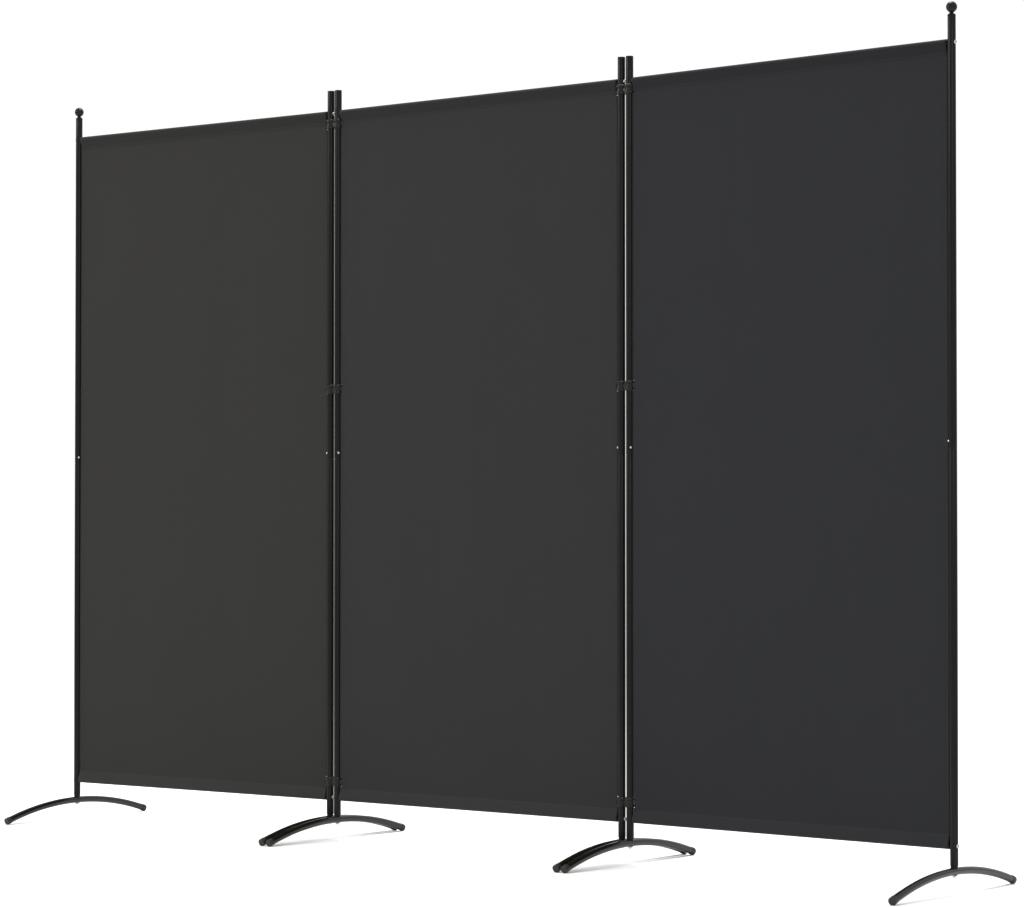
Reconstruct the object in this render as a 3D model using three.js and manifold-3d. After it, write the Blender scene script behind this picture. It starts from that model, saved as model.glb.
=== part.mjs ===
// A folding room divider screen: three fabric panels in black tube frames.
// Millimetres, +Z up. X runs along the screen, and its front faces -Y.
// The origin is on the floor, under the middle of the whole screen.
// The screen stands a little open, with its two end panels turned towards -Y.

import * as THREE from 'three';
import { mergeVertices } from 'three/addons/utils/BufferGeometryUtils.js';
import Module from 'manifold-3d';

const wasm = await Module();
wasm.setup();

// ---------- driving dimensions ----------

const screenWidth = 2590; // over the end posts, with the panels in line
const leftBend = 1.8; // degrees that the left panel is turned at rest
const rightBend = 2.5; // degrees that the right panel is turned at rest

const postDiameter = 17;
const postWall = 1;
const postBelowFabric = 32.7;
const postAboveFabric = 46.4;
const jointRise = 810; // of the joint between the two tubes of a post, above the fabric's bottom
const pairClearance = 1.2; // between the bolt heads of two posts that a clip joins
const spigotWall = 1; // of the narrow end of the lower tube
const spigotLength = 60;
const insertLength = 20; // threaded plug in the bottom of a post

const fabricHeight = 1643;
const fabricThickness = 0.6;
const fabricGap = 2; // from a post to the side edge of the fabric
const hemGap = 4.6; // from a post to the end of a hem
const hemHeight = 28;
const hemSeam = 3; // height of the joined layers at the free edge of a hem
const clipNotch = 0.6; // from a clip's rim to the fabric that is cut away beside it
const clipNotchOver = 2; // how far that cut reaches above and below the clip

const railDiameter = 13;
const railWall = 1;
const insertDepth = 28; // length of the threaded plug in each end of a rail

const footSpan = 476; // between the faces of the two end caps
const footTube = 16;
const footWall = 1.2;
const footCrest = 54; // height of the top of the arch
const capOver = 0.75; // how far an end cap stands out past the foot's tube
const capLength = 12;
const capTrim = 0.8; // how much of a cap is flattened by the floor
const capEnd = 2; // from the end of the tube to the face of its cap
const seatInset = 0.3; // of the seat's side, from the post's
const seatRise = 3; // of the seat above the top of the arch

const clipWall = 1.5;
const clipRimOver = 2; // how far a rim stands out past the waist
const clipRimHeight = 4.5;
const clipHeight = 21;
const webThickness = 8; // of the clip between its two rings
const webRecess = 0.3;
// clip centres: down from the top rail's underside, up from the posts' joints and up from the fabric's bottom
const clipPlaces = {
  left: { topDrop: 18.1, middleRise: 167, bottomRise: 45 },
  right: { topDrop: 11.1, middleRise: 152, bottomRise: 45 },
};

const boltDiameter = 6;
const boltHeadDiameter = 8.5;
const boltHeadHeight = 2;
const boltGrip = 18; // length of a bolt inside its threaded bore
const footHeadHeight = 4.5;

const snapDiameter = 6;
const snapRise = 15.5; // of the snap button above the post joint
const snapReach = 2.2; // how far the button stands out of the post
const snapTravel = 2.4;
const snapTurn = 55; // degrees from the front, towards the fabric
const snapEdge = 1.2; // height of the button's rounded edge
const leafWidth = 5;
const leafThickness = 0.8;
const leafLength = 30;
const leafFoot = 4; // height of the slope at the bottom of the front leg
const leafTop = 1; // above the edge of the button

const ballDiameter = 23;
const neckDiameter = 7.6;
const neckLength = 0.5;
const shoulderHeight = 5.2; // between a post and a neck
const shoulderEdge = 1.5; // height of the shoulder's upright side
const finialStem = 18;
const coneSlope = 42; // degrees below its middle at which a ball turns into a cone
const coneDepth = 1.04; // from the ball's middle to its neck, as a share of its radius

const meshGap = 0.3; // between pieces that touch
const boreClearance = 0.2; // around a bolt, on the radius
const snapClearance = 0.3; // around a snap button, on the radius
const slipClearance = 0.3; // around a rail in its sleeve and a spigot in its tube

// ---------- worked-out dimensions ----------

const postRadius = postDiameter / 2;
const postBore = postRadius - postWall;
const hingeSpacing = postDiameter + 2 * (boltHeadHeight + meshGap) + pairClearance;
const postBottom = footCrest + seatRise + meshGap;
const fabricBottom = postBottom + postBelowFabric;
const fabricTop = fabricBottom + fabricHeight;
const postJoint = fabricBottom + jointRise;
const postTop = fabricTop + postAboveFabric;
const spigotRadius = postBore - slipClearance;
const spigotBore = spigotRadius - spigotWall;
const postSpacing = (screenWidth - postDiameter - 2 * hingeSpacing) / 3;
const railRadius = railDiameter / 2;
const railHalf = postSpacing / 2 - postRadius - meshGap;
const sleeveBore = railRadius + slipClearance;
const sleeveRadius = sleeveBore + fabricThickness;
const topRail = fabricTop - sleeveRadius;
const bottomRail = fabricBottom + sleeveRadius;
const snapHeight = postJoint + snapRise;
const footRadius = footTube / 2;
const capRadius = footRadius + capOver;
const crestLine = footCrest - footRadius;

const postSides = 12;
const smallSides = 10;
const boltSides = 8;
const archSteps = 12; // straight pieces along a foot

// the corners of a bolt's bore lie on this, so that its flats clear the turning bolt
const boreRadius = (boltDiameter / 2 + boreClearance) / Math.cos(Math.PI / boltSides);

// the corners of a ring's bore lie on this, so that its flats clear the post
const clipBore = (postRadius + meshGap) / Math.cos(Math.PI / postSides);
const waistRadius = clipBore + clipWall;
const rimRadius = waistRadius + clipRimOver;
const clipHeights = (hinge) => [
  ['bottom', fabricBottom + clipPlaces[hinge].bottomRise],
  ['middle', postJoint + clipPlaces[hinge].middleRise],
  ['top', topRail - railRadius - clipPlaces[hinge].topDrop],
];

const radians = THREE.MathUtils.degToRad;

// ---------- materials ----------

const finish = (color, roughness, metalness) =>
  new THREE.MeshStandardMaterial({ color, roughness, metalness });

const paintedPost = () => finish(0x1f1f1d, 0.3, 0.1);
const paintedFoot = () => finish(0x3a3a34, 0.35, 0.1);
const charcoalCloth = () => finish(0x3a3a3a, 0.95, 0);
const blackPlastic = () => finish(0x161616, 0.4, 0);
const zincPlate = () => finish(0xc9c9c6, 0.3, 1);
const springSteel = () => finish(0xb4b4b0, 0.35, 1);

// ---------- geometry helpers ----------

function lathe(points, sides) {
  const profile = points.map(([r, z]) => new THREE.Vector2(r, z));
  // LatheGeometry turns about Y, and the pieces here stand along Z
  return new THREE.LatheGeometry(profile, sides).rotateX(Math.PI / 2);
}

function cylinder(radius, length, sides) {
  return new THREE.CylinderGeometry(radius, radius, length, sides);
}

// the corners of a regular polygon around the origin
function roundPoints(radius, sides) {
  return Array.from({ length: sides }, (_, i) => {
    const angle = (2 * Math.PI * i) / sides;
    return new THREE.Vector2(radius * Math.cos(angle), radius * Math.sin(angle));
  });
}

function toSolid(geometry) {
  const bare = geometry.clone();
  bare.deleteAttribute('normal');
  bare.deleteAttribute('uv');
  const merged = mergeVertices(bare, 1e-4);
  const vertProperties = new Float32Array(merged.attributes.position.array);
  const triVerts = new Uint32Array(merged.index.array);
  return new wasm.Manifold(new wasm.Mesh({ numProp: 3, vertProperties, triVerts }));
}

function toGeometry(solid) {
  const mesh = solid.getMesh();
  const geometry = new THREE.BufferGeometry();
  geometry.setAttribute('position', new THREE.BufferAttribute(mesh.vertProperties, 3));
  geometry.setIndex(new THREE.BufferAttribute(mesh.triVerts, 1));
  geometry.computeVertexNormals();
  return geometry;
}

function cut(geometry, tools) {
  return toGeometry(tools.reduce((solid, tool) => solid.subtract(toSolid(tool)), toSolid(geometry)));
}

function join(geometries) {
  return toGeometry(geometries.map(toSolid).reduce((a, b) => a.add(b)));
}

// ---------- posts ----------

// a hole through both walls of a post, along X, for a rail bolt
function railBoltHole(height) {
  return cylinder(boreRadius, 2 * postDiameter, boltSides)
    .rotateZ(Math.PI / 2)
    .translate(0, 0, height);
}

// the turn of a snap button about its post; outer is the side that the post's rail bolts face
const snapAngle = (outer) => -outer * radians(snapTurn);

// a hole through one wall only, for the snap button
function snapHole(outer) {
  return cylinder(snapDiameter / 2 + snapClearance, postDiameter, smallSides)
    .translate(0, -postDiameter / 2, snapHeight)
    .rotateZ(snapAngle(outer));
}

function lowerTube(outer) {
  const insertTop = postBottom + insertLength;
  const shoulder = postJoint - 2 * postWall;
  const outline = [
    [boreRadius, postBottom],
    [postRadius, postBottom],
    [postRadius, postJoint],
    [spigotRadius, postJoint],
    [spigotRadius, postJoint + spigotLength],
    [spigotBore, postJoint + spigotLength],
    [spigotBore, shoulder],
    [postBore, shoulder - postWall],
    [postBore, insertTop],
    [boreRadius, insertTop],
    [boreRadius, postBottom],
  ];
  return cut(lathe(outline, postSides), [railBoltHole(bottomRail), snapHole(outer)]);
}

function upperTube(outer) {
  const bottom = postJoint + meshGap;
  const outline = [
    [postBore, bottom],
    [postRadius, bottom],
    [postRadius, postTop],
    [postBore, postTop],
    [postBore, bottom],
  ];
  return cut(lathe(outline, postSides), [railBoltHole(topRail), snapHole(outer)]);
}

// the button and the V leaf spring behind it, inside the spigot
function snapButton() {
  const frontLeg = -(Math.sqrt(spigotBore ** 2 - (leafWidth / 2) ** 2) - meshGap);
  const backLeg = -frontLeg - snapTravel;
  const bottom = snapHeight - leafLength;
  const top = snapHeight + snapDiameter / 2 + leafTop;
  const outline = [
    [frontLeg, top],
    [frontLeg, bottom + leafFoot],
    [-leafThickness, bottom],
    [leafThickness / 2, bottom],
    [backLeg, top],
    [backLeg - leafThickness, top],
    [0, bottom + 2 * leafThickness],
    [-leafThickness / 2, bottom + 2 * leafThickness],
    [frontLeg + leafThickness, bottom + leafFoot + leafThickness / 2],
    [frontLeg + leafThickness, top],
  ];
  const shape = new THREE.Shape(outline.map(([y, z]) => new THREE.Vector2(y, z)));
  const leaf = new THREE.ExtrudeGeometry(shape, { depth: leafWidth, bevelEnabled: false })
    .translate(0, 0, -leafWidth / 2)
    .rotateY(Math.PI / 2)
    .rotateX(Math.PI / 2);
  const radius = snapDiameter / 2;
  const root = -frontLeg - leafThickness / 2;
  const tip = postRadius + snapReach;
  const button = lathe(
    [
      [0, root],
      [radius, root],
      [radius, tip - snapEdge],
      [0.6 * radius, tip - snapEdge / 4],
      [0, tip],
    ],
    smallSides,
  )
    .rotateX(Math.PI / 2)
    .translate(0, 0, snapHeight);
  return join([leaf, button]);
}

function finial() {
  const stem = postBore - slipClearance;
  const seat = postTop + meshGap;
  const neckBottom = seat + shoulderHeight;
  const neckTop = neckBottom + neckLength;
  const radius = ballDiameter / 2;
  const neck = neckDiameter / 2;
  const coneAngle = radians(coneSlope);
  const centre = neckTop + radius * coneDepth;
  const outline = [
    [0, postTop - finialStem],
    [stem, postTop - finialStem],
    [stem, seat],
    [postRadius, seat],
    [postRadius, seat + shoulderEdge],
    [(postRadius + neck) / 2, (seat + shoulderEdge + neckBottom) / 2 + shoulderEdge / 2],
    [neck, neckBottom],
    [neck, neckTop],
  ];
  const steps = 6;
  for (let i = 0; i <= steps; i += 1) {
    const angle = -coneAngle + ((Math.PI / 2 + coneAngle) * i) / steps;
    const r = i === steps ? 0 : radius * Math.cos(angle);
    outline.push([r, centre + radius * Math.sin(angle)]);
  }
  return lathe(outline, postSides);
}

// ---------- rails and fabric ----------

// a tube along X, narrowed to a threaded bore in each end
function rail() {
  const inner = railHalf - insertDepth;
  const railBore = railRadius - railWall;
  const outline = [
    [boreRadius, -railHalf],
    [railRadius, -railHalf],
    [railRadius, railHalf],
    [boreRadius, railHalf],
    [boreRadius, inner],
    [railBore, inner],
    [railBore, -inner],
    [boreRadius, -inner],
    [boreRadius, -railHalf],
  ];
  return lathe(outline, smallSides).rotateY(Math.PI / 2);
}

// A loop of cloth around a rail, closed into one layer at the hem's edge.
// side is 1 for the top hem, which hangs below its rail, and -1 for the bottom hem.
function teardrop(path, centre, radius, tipDrop, halfTip, side) {
  const reach = Math.hypot(tipDrop, halfTip);
  const tangent = Math.acos(radius / reach) + Math.atan2(halfTip, tipDrop);
  const steps = 14;
  const from = -Math.PI / 2 + tangent;
  const sweep = 2 * Math.PI - 2 * tangent;
  for (let i = 0; i <= steps; i += 1) {
    const angle = from + (sweep * i) / steps;
    path.push([radius * Math.cos(angle), centre + side * radius * Math.sin(angle)]);
  }
}

function sleeveHole(centre, side) {
  const tipDrop = hemHeight - sleeveRadius - hemSeam;
  const points = [[0, centre - side * tipDrop]];
  teardrop(points, centre, sleeveBore, tipDrop, 0, side);
  return new THREE.Path(points.map(([y, z]) => new THREE.Vector2(y, z)));
}

// One cloth: a single layer with a sleeve along its top and its bottom edge.
// It is cut away beside the clips, and the sleeves end short of the posts.
// hinges holds [side, hinge] for each hinge of the panel.
function fabricPanel(hinges) {
  const half = fabricThickness / 2;
  const tipDrop = hemHeight - sleeveRadius;
  const points = [];
  teardrop(points, topRail, sleeveRadius, tipDrop, half, 1);
  points.push([-half, topRail - tipDrop], [-half, bottomRail + tipDrop]);
  const lower = [];
  teardrop(lower, bottomRail, sleeveRadius, tipDrop, half, -1);
  points.push(...lower.reverse());
  points.push([half, bottomRail + tipDrop], [half, topRail - tipDrop]);
  const shape = new THREE.Shape(points.map(([y, z]) => new THREE.Vector2(y, z)));
  shape.holes.push(sleeveHole(topRail, 1), sleeveHole(bottomRail, -1));
  const width = postSpacing - postDiameter - 2 * fabricGap;
  const cloth = new THREE.ExtrudeGeometry(shape, { depth: width, bevelEnabled: false, steps: 1 })
    .translate(0, 0, -width / 2)
    .rotateY(Math.PI / 2)
    .rotateX(Math.PI / 2);
  const cuts = [];
  const edge = postSpacing / 2;
  const hemEnd = edge - postRadius - hemGap;
  const clipEdge = edge - rimRadius - clipNotch;
  for (const side of [-1, 1]) {
    for (const [low, high] of [
      [fabricBottom - 1, fabricBottom + hemHeight],
      [fabricTop - hemHeight, fabricTop + 1],
    ]) {
      const box = new THREE.BoxGeometry(postDiameter, 2 * postDiameter, high - low);
      cuts.push(box.translate(side * (hemEnd + postRadius), 0, (low + high) / 2));
    }
  }
  for (const [side, hinge] of hinges) {
    for (const [, centre] of clipHeights(hinge)) {
      const height = clipHeight + 2 * clipNotchOver;
      const box = new THREE.BoxGeometry(postDiameter, 2 * postDiameter, height);
      cuts.push(box.translate(side * (clipEdge + postRadius), 0, centre));
    }
  }
  return cut(cloth, cuts);
}

// ---------- fasteners ----------

// A button-head bolt along +Z: the head's underside is at 0, and the shank goes down.
function bolt(headHeight, shankLength) {
  const head = boltHeadDiameter / 2;
  const shank = boltDiameter / 2;
  return lathe(
    [
      [0, -shankLength],
      [shank, -shankLength],
      [shank, 0],
      [head, 0],
      [head, 0.3 * headHeight],
      [0.65 * head, 0.85 * headHeight],
      [0, headHeight],
    ],
    boltSides,
  );
}

const railBolt = () => bolt(boltHeadHeight, postDiameter + 2 * meshGap + boltGrip);

const footBolt = () => bolt(footHeadHeight, footTube + 2 * meshGap + (postBottom - footCrest) + boltGrip);

// ---------- feet ----------

// An arched tube across the screen, with an end cap on each end and a seat for the post.
function foot() {
  const halfSpan = footSpan / 2;
  // Height of a cap's face centre for which its lowest point is capTrim below the floor.
  // The arch's radius follows from that height, and its end slope from the radius.
  let endHeight = capRadius - capTrim;
  let radius = 0;
  let endAngle = 0;
  for (let i = 0; i < 8; i += 1) {
    const rise = crestLine - endHeight;
    radius = (halfSpan ** 2 + rise ** 2) / (2 * rise);
    endAngle = Math.asin(halfSpan / radius);
    endHeight = capRadius * Math.cos(endAngle) - capTrim;
  }
  const arc = (angle) =>
    new THREE.Vector3(0, radius * Math.sin(angle), crestLine - radius * (1 - Math.cos(angle)));
  class Arch extends THREE.Curve {
    getPoint(t, target = new THREE.Vector3()) {
      return target.copy(arc((endAngle - capEnd / radius) * (2 * t - 1)));
    }
  }
  const section = new THREE.Shape(roundPoints(footRadius, smallSides));
  section.holes.push(new THREE.Path(roundPoints(footRadius - footWall, boltSides)));
  const tube = new THREE.ExtrudeGeometry(section, {
    extrudePath: new Arch(),
    steps: archSteps,
    bevelEnabled: false,
  });
  const floor = new THREE.BoxGeometry(4 * footTube, 2 * footSpan, footCrest).translate(0, 0, -footCrest / 2);
  const caps = [-1, 1].map((side) => {
    const middle = arc(side * (endAngle - capLength / 2 / radius));
    return cylinder(capRadius, capLength, postSides)
      .rotateX(-side * endAngle)
      .translate(0, middle.y, middle.z);
  });
  const seatTop = footCrest + seatRise;
  const seatRadius = postRadius - seatInset;
  const seat = lathe(
    [
      [0, crestLine],
      [seatRadius, crestLine],
      [seatRadius, seatTop],
      [0, seatTop],
    ],
    postSides,
  );
  const bore = cylinder(boreRadius, 4 * footTube, boltSides).rotateX(Math.PI / 2).translate(0, 0, crestLine);
  return cut(join([tube, ...caps, seat]), [floor, bore]);
}

// ---------- hinge clips ----------

// Two rings side by side along X, centred between the posts that they turn on.
// Each ring has a raised rim at its top and its bottom, and a web joins the two waists.
function hingeClip() {
  const half = clipHeight / 2;
  const waist = half - clipRimHeight;
  const ringAt = (x) =>
    lathe(
      [
        [0, -half],
        [rimRadius, -half],
        [rimRadius, -waist],
        [waistRadius, -waist],
        [waistRadius, waist],
        [rimRadius, waist],
        [rimRadius, half],
        [0, half],
      ],
      postSides,
    ).translate(x, 0, 0);
  const boreAt = (x) =>
    cylinder(clipBore, 2 * clipHeight, postSides)
      .rotateX(Math.PI / 2)
      .translate(x, 0, 0);
  const web = new THREE.BoxGeometry(hingeSpacing, webThickness, clipHeight - 2 * webRecess);
  const centres = [-hingeSpacing / 2, hingeSpacing / 2];
  return cut(join([...centres.map(ringAt), web]), centres.map(boreAt));
}

// ---------- assembly ----------

const screen = new THREE.Group();

function addTo(parent, name, geometry, material, position = [0, 0, 0]) {
  const mesh = new THREE.Mesh(geometry, material);
  mesh.name = name;
  mesh.position.set(...position);
  parent.add(mesh);
  return mesh;
}

// A post with its bolts, snap button and foot. outer is the side that its rail bolts face.
function addPost(panel, name, x, outer, hasBall, turn) {
  addTo(panel, `${name}_lower_tube`, lowerTube(outer), paintedPost(), [x, 0, 0]);
  addTo(panel, `${name}_upper_tube`, upperTube(outer), paintedPost(), [x, 0, 0]);
  const snap = addTo(panel, `${name}_snap_button`, snapButton(), springSteel(), [x, 0, 0]);
  snap.rotation.z = snapAngle(outer);
  if (hasBall) {
    addTo(panel, `${name}_ball_finial`, finial(), blackPlastic(), [x, 0, 0]);
  }
  for (const [place, height] of [
    ['bottom', bottomRail],
    ['top', topRail],
  ]) {
    const head = x + outer * (postRadius + meshGap);
    const mesh = addTo(panel, `${name}_${place}_rail_bolt`, railBolt(), zincPlate(), [head, 0, height]);
    mesh.rotation.y = (outer * Math.PI) / 2;
  }
  const footMesh = addTo(panel, `${name}_foot`, foot(), paintedFoot(), [x, 0, 0]);
  footMesh.rotation.z = -turn;
  const under = crestLine - footRadius - meshGap;
  const footBoltMesh = addTo(panel, `${name}_foot_bolt`, footBolt(), zincPlate(), [x, 0, under]);
  footBoltMesh.rotation.x = Math.PI;
}

// A panel in its own frame, centred on X. The feet stay square to the middle panel.
function addPanel(name, position, turn, ballSide, hinges) {
  const panel = new THREE.Group();
  panel.position.set(...position);
  panel.rotation.z = turn;
  screen.add(panel);
  for (const [sideName, side] of [
    ['left', -1],
    ['right', 1],
  ]) {
    const postName = `${name}_panel_${sideName}_post`;
    addPost(panel, postName, (side * postSpacing) / 2, side, side === ballSide, turn);
  }
  addTo(panel, `${name}_panel_bottom_rail`, rail(), paintedPost(), [0, 0, bottomRail]);
  addTo(panel, `${name}_panel_top_rail`, rail(), paintedPost(), [0, 0, topRail]);
  addTo(panel, `${name}_panel_fabric`, fabricPanel(hinges), charcoalCloth());
}

function addClips(name, position, turn) {
  const hinge = new THREE.Group();
  hinge.position.set(...position);
  hinge.rotation.z = turn;
  screen.add(hinge);
  for (const [place, height] of clipHeights(name)) {
    addTo(hinge, `${name}_${place}_hinge_clip`, hingeClip(), blackPlastic(), [0, 0, height]);
  }
}

// side is -1 for the left half of the screen and 1 for the right half
function addEnd(name, side, bend) {
  const turn = -side * radians(bend);
  const along = (angle, length) => [side * length * Math.cos(angle), -length * Math.sin(angle)];
  const post = (side * postSpacing) / 2;
  const [clipX, clipY] = along(Math.abs(turn) / 2, hingeSpacing);
  const [panelX, panelY] = along(Math.abs(turn), postSpacing / 2);
  addClips(name, [post + clipX / 2, clipY / 2, 0], turn / 2);
  addPanel(name, [post + clipX + panelX, clipY + panelY, 0], turn, side, [[-side, name]]);
}

addPanel('middle', [0, 0, 0], 0, 0, [
  [-1, 'left'],
  [1, 'right'],
]);
addEnd('left', -1, leftBend);
addEnd('right', 1, rightBend);

const extent = new THREE.Box3().setFromObject(screen, true);
const middle = extent.getCenter(new THREE.Vector3());
screen.position.set(-middle.x, -middle.y, -extent.min.z);

export default screen;
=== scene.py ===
"""A folding room divider screen: charcoal cloth stretched between black tube posts on arched feet."""

import math

import bmesh
import bpy
from mathutils import Matrix, Vector, noise


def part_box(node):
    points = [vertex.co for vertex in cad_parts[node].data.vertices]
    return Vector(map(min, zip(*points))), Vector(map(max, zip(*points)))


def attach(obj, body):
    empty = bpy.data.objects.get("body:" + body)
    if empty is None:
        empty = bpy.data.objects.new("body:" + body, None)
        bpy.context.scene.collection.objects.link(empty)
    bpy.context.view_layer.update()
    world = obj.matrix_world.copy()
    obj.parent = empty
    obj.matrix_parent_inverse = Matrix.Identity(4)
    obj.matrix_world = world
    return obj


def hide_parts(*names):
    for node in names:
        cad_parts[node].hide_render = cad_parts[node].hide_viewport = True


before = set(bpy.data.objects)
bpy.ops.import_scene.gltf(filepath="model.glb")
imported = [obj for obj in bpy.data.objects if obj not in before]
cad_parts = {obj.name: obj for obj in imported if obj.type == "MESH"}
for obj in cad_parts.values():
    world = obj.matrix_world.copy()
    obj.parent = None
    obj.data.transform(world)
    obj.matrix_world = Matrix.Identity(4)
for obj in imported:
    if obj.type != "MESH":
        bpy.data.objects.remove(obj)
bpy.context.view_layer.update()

MM = 0.001
UP = Vector((0, 0, 1))
SIDES = {"left": -1, "right": 1}
PANELS = ("left", "middle", "right")


# ---------- places and sizes, read from the frame ----------


def post_name(panel, side):
    return f"{panel}_panel_{side}_post"


def middle_of(node):
    low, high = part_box(node)
    return (low + high) / 2


def post_axis(panel, side):
    """The point on the floor under a post."""
    centre = middle_of(post_name(panel, side) + "_upper_tube")
    return Vector((centre.x, centre.y, 0))


def panel_frame(panel):
    """Turns a panel's own frame (X along it, Y to its back) into the object's."""
    left, right = post_axis(panel, "left"), post_axis(panel, "right")
    along = (right - left).normalized()
    back = UP.cross(along)
    turn = Matrix((along, back, UP)).transposed().to_4x4()
    return Matrix.Translation((left + right) / 2) @ turn


def post_frame(panel, side):
    return panel_frame(panel) @ Matrix.Translation((SIDES[side] * POST_SPACING / 2, 0, 0))


POST_SPACING = (post_axis("middle", "right") - post_axis("middle", "left")).length

upper_low, upper_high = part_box("middle_panel_left_post_upper_tube")
lower_low, lower_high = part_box("middle_panel_left_post_lower_tube")
POST_RADIUS = (upper_high.x - upper_low.x) / 2
POST_JOINT = upper_low.z
POST_TOP = upper_high.z
POST_BOTTOM = lower_low.z
SPIGOT_TOP = lower_high.z
TUBE_WALL = 1 * MM
FIT = 0.3 * MM

cloth_low, cloth_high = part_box("middle_panel_fabric")
CLOTH_BOTTOM = cloth_low.z
CLOTH_TOP = cloth_high.z
CLOTH_HALF = (cloth_high.x - cloth_low.x) / 2
CLOTH_THICKNESS = 0.5 * MM
LAYER_GAP = 0.6 * MM
HEM_HEIGHT = 28 * MM
# the cloth's side edges reach this far past the CAD cloth, and are drawn in at the hems and the clips
CLOTH_EASE = 1.3 * MM
HEM_PULL = 1.4 * MM
CLIP_PULL = 3.3 * MM
# how far above and below a clip the cloth is drawn in fully, and the height it takes to come out again
CLIP_EASE = 0.3 * MM
EDGE_FADE = 2 * MM
SIDE_SEAM = 7 * MM

rail_low, rail_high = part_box("middle_panel_top_rail")
RAIL_RADIUS = (rail_high.y - rail_low.y) / 2
RAIL_HALF = (rail_high.x - rail_low.x) / 2
TOP_RAIL = (rail_low.z + rail_high.z) / 2
BOTTOM_RAIL = middle_of("middle_panel_bottom_rail").z

# the leaf spring ends this far above the middle of its button
SPRING_ABOVE = 4 * MM
SNAP_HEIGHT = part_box("middle_panel_left_post_snap_button")[1].z - SPRING_ABOVE
SNAP_TIP = POST_RADIUS + 2.2 * MM
SNAP_RADIUS = 2.6 * MM
# the snap buttons look to the front, turned this much towards the cloth
SNAP_TURN = math.radians(55)

clip_low, clip_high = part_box("left_middle_hinge_clip")
CLIP_HEIGHT = clip_high.z - clip_low.z
CLIP_PLACES = ("bottom", "middle", "top")

foot_low, foot_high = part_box("middle_panel_left_post_foot")
FOOT_REACH = (foot_high.y - foot_low.y) / 2
SEAT_TOP = foot_high.z
FOOT_RADIUS = 8 * MM
FOOT_CREST = 46 * MM
FOOT_WALL = 1.2 * MM
CAP_RADIUS = 8.75 * MM
CAP_LENGTH = 12 * MM
CAP_FLAT = 0.8 * MM

BOLT_RADIUS = 3 * MM
BOLT_HOLE = BOLT_RADIUS + 0.2 * MM
BOLT_HEAD = 4.25 * MM
# how far a plain stretch of a post reaches on each side of a hole in it
HOLE_MARGIN = 6 * MM
WASHER_THICKNESS = 1 * MM
# between pieces that rest on each other
MESH_GAP = 0.05 * MM


# ---------- camera, light and floor ----------


def set_camera():
    data = bpy.data.cameras.new("camera")
    data.lens = 108.8
    data.sensor_width = 36
    data.clip_end = 100
    camera = bpy.data.objects.new("camera", data)
    base = (post_axis("middle", "left") + post_axis("middle", "right")) / 2
    camera.location = base + Vector((4.514, -5.479, 0.752))
    camera.rotation_euler = (math.radians(91.262), 0, math.radians(38.79))
    bpy.context.scene.collection.objects.link(camera)
    bpy.context.scene.camera = camera


def add_softbox(name, place, size, power, colour):
    """A square area light that faces the middle of the screen."""
    data = bpy.data.lights.new(name, "AREA")
    data.size = size
    data.energy = power
    data.color = linear(colour)[:3]
    light = bpy.data.objects.new(name, data)
    light.location = place
    aim = Vector((0, 0, 0.9)) - Vector(place)
    light.rotation_euler = aim.to_track_quat("-Z", "Y").to_euler()
    bpy.context.scene.collection.objects.link(light)


def set_studio():
    scene = bpy.context.scene
    scene.view_settings.view_transform = "Standard"
    world = bpy.data.worlds.new("studio")
    world.use_nodes = True
    world.node_tree.nodes["Background"].inputs["Color"].default_value = linear("#ffffff")
    world.node_tree.nodes["Background"].inputs["Strength"].default_value = 1.05
    scene.world = world
    add_softbox("key_softbox", (-3.6, -4.0, 3.2), size=1.4, power=110, colour="#fff6ea")
    add_softbox("cool_softbox", (4.8, -3.4, 2.6), size=1.2, power=25, colour="#dfe9ff")
    add_softbox("top_softbox", (0, 0.6, 5.5), size=2.4, power=300, colour="#ffffff")
    mesh = bpy.data.meshes.new("studio_floor")
    half = 30
    corners = [(-half, -half, 0), (half, -half, 0), (half, half, 0), (-half, half, 0)]
    mesh.from_pydata(corners, [], [(0, 1, 2, 3)])
    floor = add_object("studio_floor", mesh, pale_floor())


# ---------- small helpers ----------


def linear(colour):
    """The shader value of an sRGB hex colour."""
    channels = [int(colour[i : i + 2], 16) / 255 for i in (1, 3, 5)]
    return (*[c / 12.92 if c <= 0.04045 else ((c + 0.055) / 1.055) ** 2.4 for c in channels], 1)


def add_node(tree, kind, settings=None, links=None):
    """Adds a node. A setting is a property of the node or the value of an input."""
    node = tree.nodes.new(kind)
    for key, value in (settings or {}).items():
        if isinstance(key, str) and hasattr(node, key):
            setattr(node, key, value)
        else:
            node.inputs[key].default_value = value
    for key, socket in (links or {}).items():
        tree.links.new(socket, node.inputs[key])
    return node


def add_object(name, mesh, finish):
    mesh.name = name
    mesh.materials.clear()
    mesh.materials.append(finish)
    piece = bpy.data.objects.new(name, mesh)
    bpy.context.scene.collection.objects.link(piece)
    return piece


def smooth(mesh, angle=32):
    """Shades a mesh smooth, with an edge wherever it turns by more than the angle."""
    mesh.shade_smooth()
    mesh.set_sharp_from_angle(angle=math.radians(angle))
    return mesh


def evaluated_mesh(piece):
    bpy.context.view_layer.update()
    return bpy.data.meshes.new_from_object(piece.evaluated_get(bpy.context.evaluated_depsgraph_get()))


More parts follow.
